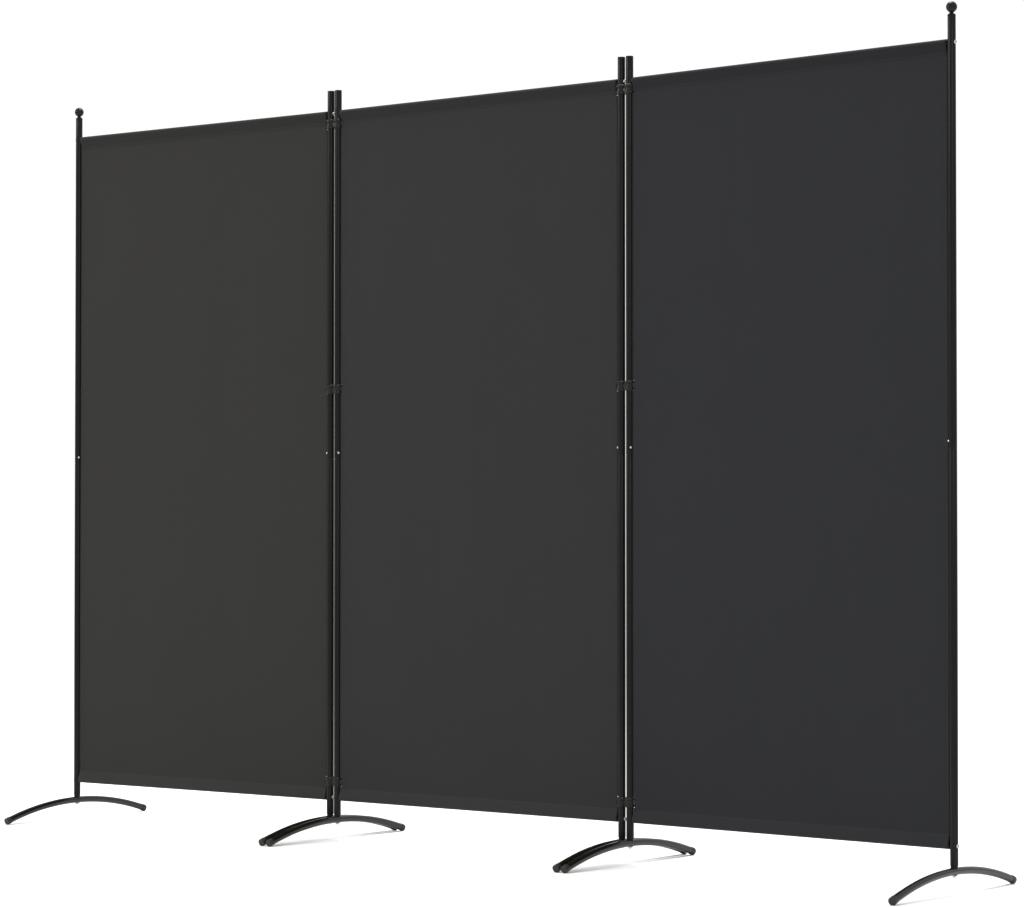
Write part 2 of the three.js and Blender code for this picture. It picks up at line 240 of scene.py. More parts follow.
def rounded(corners, closed=False, steps=3):
    """A line through corners (a, b, radius), each rounded by its radius."""
    points = []
    for i, (a, b, radius) in enumerate(corners):
        here = Vector((a, b))
        if radius == 0 or (not closed and i in (0, len(corners) - 1)):
            points.append((a, b))
            continue
        before = (Vector(corners[i - 1][:2]) - here).normalized()
        after = (Vector(corners[(i + 1) % len(corners)][:2]) - here).normalized()
        half = math.acos(max(-1, min(1, before.dot(after)))) / 2
        centre = here + (before + after).normalized() * radius / math.sin(half)
        start = here + before * radius / math.tan(half) - centre
        end = here + after * radius / math.tan(half) - centre
        first = math.atan2(start.y, start.x)
        sweep = (math.atan2(end.y, end.x) - first + math.pi) % (2 * math.pi) - math.pi
        for step in range(steps + 1):
            angle = first + sweep * step / steps
            points.append((centre.x + radius * math.cos(angle), centre.y + radius * math.sin(angle)))
    return points


def skin(rings, loop=False):
    """A closed mesh over rings of points. A ring of one point is a tip."""
    shell = bmesh.new()
    rows = [[shell.verts.new(point) for point in ring] for ring in rings]
    pairs = list(zip(rows, rows[1:]))
    if loop:
        pairs.append((rows[-1], rows[0]))
    for a, b in pairs:
        count = max(len(a), len(b))
        for i in range(count):
            j = (i + 1) % count
            corners = [a[i % len(a)], a[j % len(a)], b[j % len(b)], b[i % len(b)]]
            shell.faces.new(list(dict.fromkeys(corners)))
    if not loop:
        for row in (rows[0], rows[-1]):
            if len(row) > 2:
                shell.faces.new(row)
    bmesh.ops.recalc_face_normals(shell, faces=shell.faces)
    mesh = bpy.data.meshes.new("skin")
    shell.to_mesh(mesh)
    shell.free()
    return mesh


def turned(profile, sides=64, loop=False):
    """A mesh turned about Z from a line of (radius, height) points."""
    rings = []
    for radius, height in profile:
        if radius < 1e-7:
            rings.append([(0, 0, height)])
            continue
        angles = [2 * math.pi * i / sides for i in range(sides)]
        rings.append([(radius * math.cos(a), radius * math.sin(a), height) for a in angles])
    return skin(rings, loop)


def carved(mesh, tools):
    """The mesh with the shapes of the tools cut out of it."""
    body = bpy.data.objects.new("carved", mesh)
    cutters = [bpy.data.objects.new("cutter", tool) for tool in tools]
    for piece in (body, *cutters):
        bpy.context.scene.collection.objects.link(piece)
    for cutter in cutters:
        cut = body.modifiers.new("cut", "BOOLEAN")
        cut.object = cutter
        cut.solver = "EXACT"
    result = evaluated_mesh(body)
    for piece in (body, *cutters):
        bpy.data.objects.remove(piece)
    return result


def joined(meshes):
    """One mesh that holds several closed shells."""
    shell = bmesh.new()
    for mesh in meshes:
        shell.from_mesh(mesh)
    result = bpy.data.meshes.new("joined")
    shell.to_mesh(result)
    shell.free()
    return result


def rod(start, end, radius, sides=32):
    """A plain cylinder between two points, as a cutter."""
    start, end = Vector(start), Vector(end)
    turn = UP.rotation_difference(end - start).to_matrix().to_4x4()
    mesh = turned([(radius, 0), (radius, (end - start).length)], sides)
    mesh.transform(Matrix.Translation(start) @ turn)
    return mesh


# ---------- finishes ----------


def new_finish(name, colour, roughness, **values):
    """A material with one Principled shader. Returns it, its node tree and its shader."""
    finish = bpy.data.materials.new(name)
    finish.use_nodes = True
    tree = finish.node_tree
    shader = tree.nodes["Principled BSDF"]
    shader.inputs["Base Color"].default_value = linear(colour)
    shader.inputs["Roughness"].default_value = roughness
    for key, value in values.items():
        shader.inputs[key.replace("_", " ")].default_value = value
    return finish, tree, shader


def add_bump(tree, shader, height, distance, strength):
    bump = add_node(
        tree, "ShaderNodeBump", {"Distance": distance, "Strength": strength}, {"Height": height}
    )
    tree.links.new(bump.outputs["Normal"], shader.inputs["Normal"])


def fine_noise(tree, place, size, detail):
    """A noise texture over the object, with marks of the given size."""
    settings = {"Scale": 1 / size, "Detail": detail}
    return add_node(tree, "ShaderNodeTexNoise", settings, {"Vector": place.outputs["Object"]})


def vary(tree, shader, noise_scale, colours, roughnesses):
    """Lets the colour and the roughness drift between two values over the surface."""
    place = add_node(tree, "ShaderNodeTexCoord")
    cloud = add_node(
        tree, "ShaderNodeTexNoise", {"Scale": noise_scale, "Detail": 4.0}, {"Vector": place.outputs["Object"]}
    )
    tint = add_node(
        tree,
        "ShaderNodeMix",
        {"data_type": "RGBA"},
        {"Factor": cloud.outputs["Fac"]},
    )
    tint.inputs["A"].default_value = linear(colours[0])
    tint.inputs["B"].default_value = linear(colours[1])
    tree.links.new(tint.outputs["Result"], shader.inputs["Base Color"])
    rough = add_node(
        tree,
        "ShaderNodeMapRange",
        {"From Min": 0.3, "From Max": 0.7, "To Min": roughnesses[0], "To Max": roughnesses[1]},
        {"Value": cloud.outputs["Fac"]},
    )
    tree.links.new(rough.outputs["Result"], shader.inputs["Roughness"])
    return place


def powder_coated_steel(name, dark, light, gloss, roughnesses):
    """Gloss powder coat, sprayed and baked: a smooth skin with the faint ripple of orange peel."""
    finish, tree, shader = new_finish(name, dark, 0.22, IOR=1.5)
    shader.inputs["Specular IOR Level"].default_value = gloss
    place = vary(tree, shader, 9.0, (dark, light), roughnesses)
    # orange peel is about 2 mm from crest to crest
    peel = fine_noise(tree, place, 2 * MM, 1.0)
    add_bump(tree, shader, peel.outputs["Fac"], 0.03 * MM, 0.5)
    return finish


def moulded_nylon(name, dark, light, gloss):
    """Injection-moulded nylon: black, half matt, with the fine grain of a spark-eroded mould."""
    finish, tree, shader = new_finish(name, dark, 0.42, IOR=1.53)
    shader.inputs["Specular IOR Level"].default_value = gloss
    place = vary(tree, shader, 60.0, (dark, light), (0.3, 0.42))
    # the mould's grain is about 0.3 mm
    grain = fine_noise(tree, place, 0.3 * MM, 2.0)
    add_bump(tree, shader, grain.outputs["Fac"], 0.02 * MM, 0.6)
    return finish


def glossy_abs():
    """Injection-moulded ABS for the ball finials: polished mould, so deep and glossy."""
    finish, tree, shader = new_finish("glossy_abs", "#121212", 0.18, IOR=1.54)
    shader.inputs["Specular IOR Level"].default_value = 0.14
    place = vary(tree, shader, 45.0, ("#0c0c0c", "#131313"), (0.22, 0.32))
    flow = fine_noise(tree, place, 4 * MM, 1.0)
    add_bump(tree, shader, flow.outputs["Fac"], 0.02 * MM, 0.4)
    return finish


def zinc_plated_steel():
    """Bright zinc plate on a cold-headed bolt: silver with a soft, slightly cloudy shine."""
    finish, tree, shader = new_finish("zinc_plated_steel", "#c9cac6", 0.3, Metallic=1.0)
    place = vary(tree, shader, 350.0, ("#9c9d99", "#c2c3bf"), (0.22, 0.38))
    # the drawing marks on the head are about 0.25 mm apart
    marks = fine_noise(tree, place, 0.25 * MM, 2.0)
    add_bump(tree, shader, marks.outputs["Fac"], 0.01 * MM, 0.5)
    return finish


def polyester_thread():
    """Spun polyester thread, dyed with the cloth: matt, with a faint twist."""
    finish, tree, shader = new_finish("polyester_thread", "#2c2c2c", 0.75)
    shader.inputs["Sheen Weight"].default_value = 0.25
    place = vary(tree, shader, 900.0, ("#232323", "#2f2f2f"), (0.7, 0.85))
    twist = add_node(
        tree,
        "ShaderNodeTexWave",
        {"Scale": 1 / (1.2 * MM), "Distortion": 1.0},
        {"Vector": place.outputs["Object"]},
    )
    add_bump(tree, shader, twist.outputs["Fac"], 0.05 * MM, 0.5)
    return finish


THREAD_SPACING = 0.7 * MM
# painted light on the sleeves: the doubled top sleeve is painted darker, as painted shade, and the bottom
# sleeve paler, as painted light from the floor
TOP_SLEEVE_PAINTED_SHADE = 0.73
BOTTOM_SLEEVE_PAINTED_LIGHT = 1.12
# how far each panel's cloth is painted from the lighter, warmer colour to the darker, cooler one: painted
# light, the warm key light falling off from the left panel to the right one
PAINTED_FALLOFF = {"left": 0.0, "middle": 0.2, "right": 0.75}


def woven_polyester():
    """Plain-woven polyester, solution-dyed charcoal: dense, matt, with a faint bloom at a low angle.

    The cloth carries its own map in metres, so the threads run straight along its cut.
    The threads are drawn a little further apart than is likely, so that they show close up.
    The three cloths carry painted light: the left one is painted lighter and warmer, the right one darker and
    cooler, as the warm key light falls off across the screen.
    The top sleeve is painted darker than the single layer, as painted shade for the light that cannot pass
    through the doubled cloth, and the bottom one a little paler, as painted light bounced up from the floor.
    """
    finish, tree, shader = new_finish("woven_polyester", "#333333", 0.9)
    shader.inputs["Sheen Weight"].default_value = 0.05
    shader.inputs["Sheen Roughness"].default_value = 0.5
    shader.inputs["Specular IOR Level"].default_value = 0.12
    cut = add_node(tree, "ShaderNodeUVMap", {"uv_map": "cut"})
    threads = add_node(
        tree,
        "ShaderNodeMapping",
        {"Scale": (1 / THREAD_SPACING, 1 / THREAD_SPACING, 1)},
        {"Vector": cut.outputs["UV"]},
    )
    axes = add_node(tree, "ShaderNodeSeparateXYZ", links={"Vector": threads.outputs["Vector"]})
    ridges = []
    for axis in ("X", "Y"):
        turns = add_node(
            tree, "ShaderNodeMath", {"operation": "MULTIPLY", 1: math.pi}, {0: axes.outputs[axis]}
        )
        wave = add_node(tree, "ShaderNodeMath", {"operation": "SINE"}, {0: turns.outputs[0]})
        ridges.append(add_node(tree, "ShaderNodeMath", {"operation": "ABSOLUTE"}, {0: wave.outputs[0]}))
    over = add_node(tree, "ShaderNodeTexChecker", {"Scale": 1.0}, {"Vector": threads.outputs["Vector"]})
    weave = add_node(
        tree,
        "ShaderNodeMix",
        {"data_type": "FLOAT"},
        {"Factor": over.outputs["Fac"], "A": ridges[0].outputs[0], "B": ridges[1].outputs[0]},
    )
    slub_map = add_node(tree, "ShaderNodeMapping", {"Scale": (1400, 60, 1)}, {"Vector": cut.outputs["UV"]})
    slubs = add_node(
        tree, "ShaderNodeTexNoise", {"Scale": 1.0, "Detail": 3.0}, {"Vector": slub_map.outputs["Vector"]}
    )
    height = add_node(
        tree,
        "ShaderNodeMath",
        {"operation": "MULTIPLY_ADD", 1: 0.35},
        {0: slubs.outputs["Fac"], 2: weave.outputs["Result"]},
    )
    add_bump(tree, shader, height.outputs[0], 0.12 * MM, 0.55)
    cloud = add_node(
        tree, "ShaderNodeTexNoise", {"Scale": 5.0, "Detail": 3.0}, {"Vector": cut.outputs["UV"]}
    )
    # painted light: each panel's place across the screen moves its colour towards the darker, cooler one, on
    # top of the cloth's random tone
    painted_falloff = add_node(tree, "ShaderNodeAttribute", {"attribute_name": "painted_falloff"})
    tone_and_painted_falloff = add_node(
        tree,
        "ShaderNodeMath",
        {"operation": "MULTIPLY_ADD", 1: 0.3, "use_clamp": True},
        {0: cloud.outputs["Fac"], 2: painted_falloff.outputs["Fac"]},
    )
    # A is the lighter, warmer colour painted where the key light is strong; B is the darker, cooler one
    # painted where it is weak
    single = add_node(tree, "ShaderNodeMix", {"data_type": "RGBA"}, {"Factor": tone_and_painted_falloff.outputs[0]})
    single.inputs["A"].default_value = linear("#282827")
    single.inputs["B"].default_value = linear("#212225")
    # painted shade between the threads: the colour is darker where the weave is low and a touch lighter on
    # the thread crowns
    painted_weave_shade = add_node(
        tree,
        "ShaderNodeMix",
        {"data_type": "RGBA", "blend_type": "MULTIPLY", "Factor": 1.0},
        {"A": single.outputs["Result"]},
    )
    depth = add_node(
        tree,
        "ShaderNodeMapRange",
        {"From Min": 0.0, "From Max": 1.0, "To Min": 0.78, "To Max": 1.06},
        {"Value": weave.outputs["Result"]},
    )
    tree.links.new(depth.outputs["Result"], painted_weave_shade.inputs["B"])
    # painted shade on the top sleeve and painted light on the bottom one, multiplied into the colour
    sleeve = add_node(tree, "ShaderNodeAttribute", {"attribute_name": "shade"})
    hem = add_node(
        tree,
        "ShaderNodeMix",
        {"data_type": "RGBA", "blend_type": "MULTIPLY", "Factor": 1.0},
        {"A": painted_weave_shade.outputs["Result"], "B": sleeve.outputs["Color"]},
    )
    tree.links.new(hem.outputs["Result"], shader.inputs["Base Color"])
    return finish


def pale_floor():
    """Painted studio floor: plain, pale and matt, with the slightest unevenness."""
    finish, tree, shader = new_finish("studio_paint", "#f6f6f5", 0.8)
    vary(tree, shader, 1.5, ("#fbfbfa", "#fdfdfd"), (0.75, 0.85))
    return finish


# ---------- repeats ----------


def repeat_tree():
    """Geometry nodes that set a copy of a piece on each point, with its Z along the point's aim."""
    tree = bpy.data.node_groups.new("repeat_on_points", "GeometryNodeTree")
    face = tree.interface
    face.new_socket(name="Points", in_out="INPUT", socket_type="NodeSocketGeometry")
    face.new_socket(name="Piece", in_out="INPUT", socket_type="NodeSocketObject")
    face.new_socket(name="Finish", in_out="INPUT", socket_type="NodeSocketMaterial")
    face.new_socket(name="Copies", in_out="OUTPUT", socket_type="NodeSocketGeometry")
    given = add_node(tree, "NodeGroupInput")
    piece = add_node(tree, "GeometryNodeObjectInfo", links={"Object": given.outputs["Piece"]})
    aim = add_node(tree, "GeometryNodeInputNamedAttribute", {"data_type": "FLOAT_VECTOR", "Name": "aim"})
    turn = add_node(
        tree, "FunctionNodeAlignRotationToVector", {"axis": "Z"}, {"Vector": aim.outputs["Attribute"]}
    )
    copies = add_node(
        tree,
        "GeometryNodeInstanceOnPoints",
        links={
            "Points": given.outputs["Points"],
            "Instance": piece.outputs["Geometry"],
            "Rotation": turn.outputs["Rotation"],
        },
    )
    finish_copies(tree, given, copies)
    return tree


def stitch_tree():
    """Geometry nodes that sew a running stitch along each line of a mesh."""
    tree = bpy.data.node_groups.new("running_stitch", "GeometryNodeTree")
    face = tree.interface
    face.new_socket(name="Lines", in_out="INPUT", socket_type="NodeSocketGeometry")
    for name in ("Pitch", "Length", "Thread"):
        face.new_socket(name=name, in_out="INPUT", socket_type="NodeSocketFloat")
    face.new_socket(name="Finish", in_out="INPUT", socket_type="NodeSocketMaterial")
    face.new_socket(name="Stitches", in_out="OUTPUT", socket_type="NodeSocketGeometry")
    given = add_node(tree, "NodeGroupInput")
    curve = add_node(tree, "GeometryNodeMeshToCurve", links={"Mesh": given.outputs["Lines"]})
    points = add_node(
        tree,
        "GeometryNodeResampleCurve",
        {"mode": "LENGTH"},
        {"Curve": curve.outputs["Curve"], "Length": given.outputs["Pitch"]},
    )
    tangent = add_node(tree, "GeometryNodeInputTangent")
    turn = add_node(
        tree, "FunctionNodeAlignRotationToVector", {"axis": "X"}, {"Vector": tangent.outputs["Tangent"]}
    )
    bead = add_node(tree, "GeometryNodeMeshUVSphere", {"Segments": 6, "Rings": 4, "Radius": 0.5})
    size = add_node(
        tree,
        "ShaderNodeCombineXYZ",
        links={
            "X": given.outputs["Length"],
            "Y": given.outputs["Thread"],
            "Z": given.outputs["Thread"],
        },
    )
    copies = add_node(
        tree,
        "GeometryNodeInstanceOnPoints",
        links={
            "Points": points.outputs["Curve"],
            "Instance": bead.outputs["Mesh"],
            "Rotation": turn.outputs["Rotation"],
            "Scale": size.outputs["Vector"],
        },
    )
    finish_copies(tree, given, copies)
    return tree


def finish_copies(tree, given, copies):
    """Makes the copies real, shades them smooth and gives them their finish."""
    real = add_node(
        tree, "GeometryNodeRealizeInstances", links={"Geometry": copies.outputs["Instances"]}
    )
    painted = add_node(
        tree,
        "GeometryNodeSetMaterial",
        links={"Geometry": real.outputs["Geometry"], "Material": given.outputs["Finish"]},
    )
    out = add_node(tree, "NodeGroupOutput")
    tree.links.new(painted.outputs["Geometry"], out.inputs[0])


def run_tree(piece, tree, values):
    """Runs geometry nodes on a piece, and keeps the result as its plain mesh."""
    nodes = piece.modifiers.new("nodes", "NODES")
    nodes.node_group = tree
    for socket in tree.interface.items_tree:
        if socket.in_out == "INPUT" and socket.name in values:
            nodes[socket.identifier] = values[socket.name]
    mesh = evaluated_mesh(piece)
    piece.modifiers.clear()
    piece.data = mesh
    return piece


def repeated(name, mesh, places, finish):
    """One piece that holds a copy of the mesh at each (point, aim)."""
    pattern = add_object(name + "_pattern", mesh, finish)
    points = bpy.data.meshes.new(name)
    points.from_pydata([point for point, _ in places], [], [])
    aims = points.attributes.new("aim", "FLOAT_VECTOR", "POINT")
    for i, (_, aim) in enumerate(places):
        aims.data[i].vector = aim
    piece = add_object(name, points, finish)
    run_tree(piece, REPEAT, {"Piece": pattern, "Finish": finish})
    bpy.data.objects.remove(pattern)
    piece.data.name = name
    return piece


# ---------- posts ----------


def snap_turn(side):
    return Matrix.Rotation(-SIDES[side] * SNAP_TURN, 4, "Z")


def snap_hole(side):
    hole = rod(
        (0, -2 * POST_RADIUS, SNAP_HEIGHT), (0, -POST_RADIUS / 4, SNAP_HEIGHT), SNAP_RADIUS + FIT
    )
    hole.transform(snap_turn(side))
    return hole


def rail_bolt_hole(height):
    return rod((-2 * POST_RADIUS, 0, height), (2 * POST_RADIUS, 0, height), BOLT_HOLE)


def upper_tube(side):
    bore = POST_RADIUS - TUBE_WALL
    corners = [
        (bore, POST_JOINT, 0.2 * MM),
        (POST_RADIUS, POST_JOINT, 0.4 * MM),
        (POST_RADIUS, SNAP_HEIGHT - HOLE_MARGIN, 0),
        (POST_RADIUS, SNAP_HEIGHT + HOLE_MARGIN, 0),
        (POST_RADIUS, TOP_RAIL - HOLE_MARGIN, 0),
        (POST_RADIUS, TOP_RAIL + HOLE_MARGIN, 0),
        (POST_RADIUS, POST_TOP, 0.4 * MM),
        (bore, POST_TOP, 0.2 * MM),
    ]
    tube = turned(rounded(corners, closed=True), loop=True)
    return smooth(carved(tube, [snap_hole(side), rail_bolt_hole(TOP_RAIL)]))


def lower_tube(side):
    bore = POST_RADIUS - TUBE_WALL
    spigot = bore - FIT
    spigot_bore = spigot - TUBE_WALL
    shoulder = POST_JOINT - FIT
    insert_top = POST_BOTTOM + 20 * MM
    corners = [
        (BOLT_HOLE, POST_BOTTOM, 0),
        (POST_RADIUS, POST_BOTTOM, 0.4 * MM),
        (POST_RADIUS, BOTTOM_RAIL - HOLE_MARGIN, 0),
        (POST_RADIUS, BOTTOM_RAIL + HOLE_MARGIN, 0),
        (POST_RADIUS, shoulder, 0.4 * MM),
        (spigot, shoulder, 0),
        (spigot, SPIGOT_TOP, 0.3 * MM),
        (spigot_bore, SPIGOT_TOP, 0.2 * MM),
        (spigot_bore, shoulder - 2 * MM, 0),
        (bore, shoulder - 3 * MM, 0),
        (bore, insert_top, 0),
        (BOLT_HOLE, insert_top, 0),
    ]
    tube = turned(rounded(corners, closed=True), loop=True)
    return smooth(carved(tube, [snap_hole(side), rail_bolt_hole(BOTTOM_RAIL)]))


def snap_button(side):
    """The button, and the bent leaf spring that pushes it out."""
    root = 4.4 * MM
    corners = [
        (0, root, 0),
        (SNAP_RADIUS, root, 0),
        (SNAP_RADIUS, SNAP_TIP - 1.3 * MM, 0.5 * MM),
        (0.72 * SNAP_RADIUS, SNAP_TIP - 0.45 * MM, 0.8 * MM),
        (0, SNAP_TIP, 0),
    ]
    button = turned(rounded(corners, steps=4), 32)
    turn = Matrix.Rotation(math.radians(90), 4, "X")
    button.transform(Matrix.Translation((0, 0, SNAP_HEIGHT)) @ turn)
    front_leg, back_leg, bend = -4.8 * MM, 2.4 * MM, -0.6 * MM
    thin = 0.8 * MM
    half = 2.5 * MM
    slope = 4 * MM
    top = SNAP_HEIGHT + SPRING_ABOVE
    bottom = SNAP_HEIGHT - 30 * MM
    outside = [(front_leg, top), (front_leg, bottom + slope), (bend, bottom), (back_leg, top)]
    inside = [
        (front_leg + thin, top),
        (front_leg + thin, bottom + slope + thin / 2),
        (bend - thin / 4, bottom + 1.75 * thin),
        (back_leg - thin, top),
    ]
    rings = []
    for (y0, z0), (y1, z1) in zip(outside, inside):
        rings.append([(-half, y0, z0), (half, y0, z0), (half, y1, z1), (-half, y1, z1)])
    both = joined([button, skin(rings)])
    both.transform(snap_turn(side))
    return smooth(both)


def post_plug():
    """A flat plug that closes the top of an inner post."""
    stem = POST_RADIUS - TUBE_WALL - FIT / 2
    stem_bottom = POST_TOP - 12 * MM
    corners = [
        (0, stem_bottom, 0),
        (stem, stem_bottom, 0.8 * MM),
        (stem, POST_TOP, 0),
        (POST_RADIUS, POST_TOP, 0.15 * MM),
        (POST_RADIUS, POST_TOP + 1.4 * MM, 0.7 * MM),
        (POST_RADIUS - 1.5 * MM, POST_TOP + 1.6 * MM, 0.2 * MM),
        (0, POST_TOP + 1.7 * MM, 0),
    ]
    return smooth(turned(rounded(corners), 48))


def ball_finial(node):
    """A shoulder over the post, a thin neck, and a ball with a conical underside."""
    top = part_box(node)[1].z
    radius = 11.5 * MM
    neck = 3.8 * MM
    centre = top - radius
    cone = math.radians(42)
    stem = POST_RADIUS - TUBE_WALL - FIT
    seat = POST_TOP + FIT
    stem_bottom = POST_TOP - 18 * MM
    collar = POST_RADIUS + 0.2 * MM
    neck_bottom = seat + 5.2 * MM
    neck_top = neck_bottom + 0.5 * MM
    corners = [
        (0, stem_bottom, 0),
        (stem, stem_bottom, 1 * MM),
        (stem, seat, 0),
        (collar, seat, 0.3 * MM),
        (collar, seat + 1.5 * MM, 1.2 * MM),
        (0.76 * POST_RADIUS, seat + 3.8 * MM, 2 * MM),
        (neck, neck_bottom, 0.4 * MM),
        (neck, neck_top, 0.2 * MM),
        (radius * math.cos(cone), centre - radius * math.sin(cone), 0),
    ]
    line = rounded(corners, steps=5)
    steps = 24
    for i in range(1, steps + 1):
        angle = -cone + (math.pi / 2 + cone) * i / steps
        ring = 0 if i == steps else radius * math.cos(angle)
        line.append((ring, centre + radius * math.sin(angle)))
    return smooth(turned(line, 64))


# ---------- rails and cloth ----------


def rail(height):
    """A tube across the panel, narrowed to a threaded plug in each end."""
    bore = RAIL_RADIUS - TUBE_WALL
    plug_length = 28 * MM
    inner = RAIL_HALF - plug_length
    corners = [
        (BOLT_HOLE, -RAIL_HALF, 0),
        (RAIL_RADIUS, -RAIL_HALF, 0.4 * MM),
        (RAIL_RADIUS, RAIL_HALF, 0.4 * MM),
        (BOLT_HOLE, RAIL_HALF, 0),
        (BOLT_HOLE, inner, 0),
        (bore, inner, 0),
        (bore, -inner, 0),
        (BOLT_HOLE, -inner, 0),
    ]
    mesh = turned(rounded(corners, closed=True), 48, loop=True)
    along = Matrix.Rotation(math.radians(90), 4, "Y")
    mesh.transform(Matrix.Translation((0, 0, height)) @ along)
    return smooth(mesh)


def hem_line(rail_height, side):
    """The cloth's line round a rail, as (y, z) points, from the hem's free edge to its front seam.

    side is 1 for the top hem, whose seam is under its rail, and -1 for the bottom hem.
    """
    radius = RAIL_RADIUS + FIT + LAYER_GAP / 2
    edge = CLOTH_TOP if side > 0 else CLOTH_BOTTOM
    seam = edge - side * HEM_HEIGHT
    drop = abs(rail_height - seam)
    tangent = math.acos(radius / math.hypot(drop, LAYER_GAP))
    points = [(LAYER_GAP, seam - side * 3 * MM), (LAYER_GAP, seam)]
    first = -math.pi / 2 + tangent
    start = (radius * math.cos(first), rail_height + side * radius * math.sin(first))
    for i in range(1, 4):
        share = i / 4
        points.append(
            (LAYER_GAP + (start[0] - LAYER_GAP) * share, seam + (start[1] - seam) * share)
        )
    steps = 26
    for i in range(steps + 1):
        angle = first + (2 * math.pi - 2 * tangent) * i / steps
        points.append((radius * math.cos(angle), rail_height + side * radius * math.sin(angle)))
    for i in range(1, 4):
        share = 1 - i / 4
        points.append((-start[0] * share, seam + (start[1] - seam) * share))
    points.append((0, seam))
    return points


def step_near(value, centre, reach, fade):
    """1 within reach of the centre, falling smoothly to 0 over fade."""
    share = min(1, max(0, (reach + fade - abs(value - centre)) / fade))
    return share * share * (3 - 2 * share)


def clip_heights(panel):
    """The heights of the clips at each side of a panel."""
    hinges = {
        "left": {"right": "left"},
        "middle": {"left": "left", "right": "right"},
        "right": {"left": "right"},
    }
    heights = {"left": [], "right": []}
    for side, hinge in hinges[panel].items():
        heights[side] = [middle_of(f"{hinge}_{place}_hinge_clip").z for place in CLIP_PLACES]
    return heights


def cloth_edge(z, heights):
    """How far the cloth's edge lies from the panel's middle. It is drawn in at the hems and the clips."""
    at_hem = max(step_near(z, edge, HEM_HEIGHT, EDGE_FADE) for edge in (CLOTH_TOP, CLOTH_BOTTOM))
    reach = CLIP_HEIGHT / 2 + CLIP_EASE
    at_clip = max([step_near(z, height, reach, EDGE_FADE) for height in heights] + [0])
    return CLOTH_HALF + CLOTH_EASE - max(HEM_PULL * at_hem, CLIP_PULL * at_clip)


def cloth_ripple(x, z, seed):
    """How far the stretched cloth stands out of its plane: long upright creases that die at the hems."""
    from_hem = min(CLOTH_TOP - HEM_HEIGHT - z, z - CLOTH_BOTTOM - HEM_HEIGHT)
    if from_hem <= 0:
        return 0.0
    free = min(1, from_hem / 0.25)
    broad = noise.noise(Vector((x * 5.5, z * 0.55, seed)))
    narrow = noise.noise(Vector((x * 19, z * 1.3, seed + 7)))
    drift = noise.noise(Vector((x * 11 + z * 3, z * 4 - x, seed + 13)))
    pucker = noise.noise(Vector((x * 75, z * 20, seed + 23))) * step_near(from_hem, 0, 0, 0.09)
    return MM * (free * (1.5 * broad + 0.5 * narrow + 0.35 * drift) + 0.4 * pucker)


def cloth_columns():
    """Places across the cloth, from -1 to 1, with one on each side seam."""
    inner = 1 - SIDE_SEAM / CLOTH_HALF
    count = 132
    middle = [inner * (2 * i / count - 1) for i in range(count + 1)]
    return [-1, -(1 + inner) / 2, *middle, (1 + inner) / 2, 1]


def body_rows(heights):
    """The heights of the rows of points between the hems, from the top, closer together at the clips."""
    rows = 150
    high, low = CLOTH_TOP - HEM_HEIGHT, CLOTH_BOTTOM + HEM_HEIGHT
    levels = [high + (low - high) * i / rows for i in range(1, rows)]
    for height in heights["left"] + heights["right"]:
        for side in (-1, 1):
            edge = height + side * (CLIP_HEIGHT / 2 + CLIP_EASE)
            levels += [edge + side * EDGE_FADE * i / 3 for i in range(4)]
    kept = []
    for level in sorted(levels, reverse=True):
        inside = low + MM < level < high - MM
        if inside and (not kept or kept[-1] - level > 0.3 * MM):
            kept.append(level)
    return kept


def cloth_points(heights, seed):
    """The cloth as rows of points in its panel's frame, with how far along the cut each row lies."""
    top = hem_line(TOP_RAIL, 1)
    bottom = hem_line(BOTTOM_RAIL, -1)[::-1]
    body = [(0, z) for z in body_rows(heights)]
    line = top + body + bottom
    along = [0.0]
    for (y0, z0), (y1, z1) in zip(line, line[1:]):
        along.append(along[-1] + math.hypot(y1 - y0, z1 - z0))
    grid = []
    for y, z in line:
        left, right = -cloth_edge(z, heights["left"]), cloth_edge(z, heights["right"])
        xs = [left + (right - left) * (share + 1) / 2 for share in cloth_columns()]
        grid.append([Vector((x, y + cloth_ripple(x, z, seed), z)) for x in xs])
    seams = {"top_back": 1, "top_front": len(top) - 1}
    seams["bottom_front"] = len(top) + len(body)
    seams["bottom_back"] = len(line) - 2
    return grid, along, seams


def cloth_panel(panel, finish):
    """One cloth with its two sleeves, and its seams as lines for the stitches."""
    grid, along, seams = cloth_points(clip_heights(panel), 10 * PANELS.index(panel))
    columns = len(grid[0])
    faces = []
    for i in range(len(grid) - 1):
        for j in range(columns - 1):
            a = i * columns + j
            faces.append((a, a + columns, a + columns + 1, a + 1))
    mesh = bpy.data.meshes.new("cloth")
    mesh.from_pydata([point for row in grid for point in row], [], faces)
    cut = mesh.uv_layers.new(name="cut")
    for loop in mesh.loops:
        i, j = divmod(loop.vertex_index, columns)
        cut.data[loop.index].uv = (grid[i][j].x, along[i])
    shade = mesh.attributes.new("shade", "FLOAT", "POINT")
    painted_falloff = mesh.attributes.new("painted_falloff", "FLOAT", "POINT")
    for vertex in mesh.vertices:
        row = vertex.index // columns
        painted_falloff.data[vertex.index].value = PAINTED_FALLOFF[panel]
        shade.data[vertex.index].value = 1.0
        # the top sleeve gets its painted shade and the bottom sleeve its painted light
        if row <= seams["top_front"]:
            shade.data[vertex.index].value = TOP_SLEEVE_PAINTED_SHADE
        if row >= seams["bottom_front"]:
            shade.data[vertex.index].value = BOTTOM_SLEEVE_PAINTED_LIGHT
    mesh.transform(panel_frame(panel))
    mesh.shade_smooth()
    piece = add_object(f"{panel}_panel_cloth", mesh, finish)
    solid = piece.modifiers.new("thickness", "SOLIDIFY")
    solid.thickness = CLOTH_THICKNESS
    solid.offset = 0
    return piece, grid, along, seams


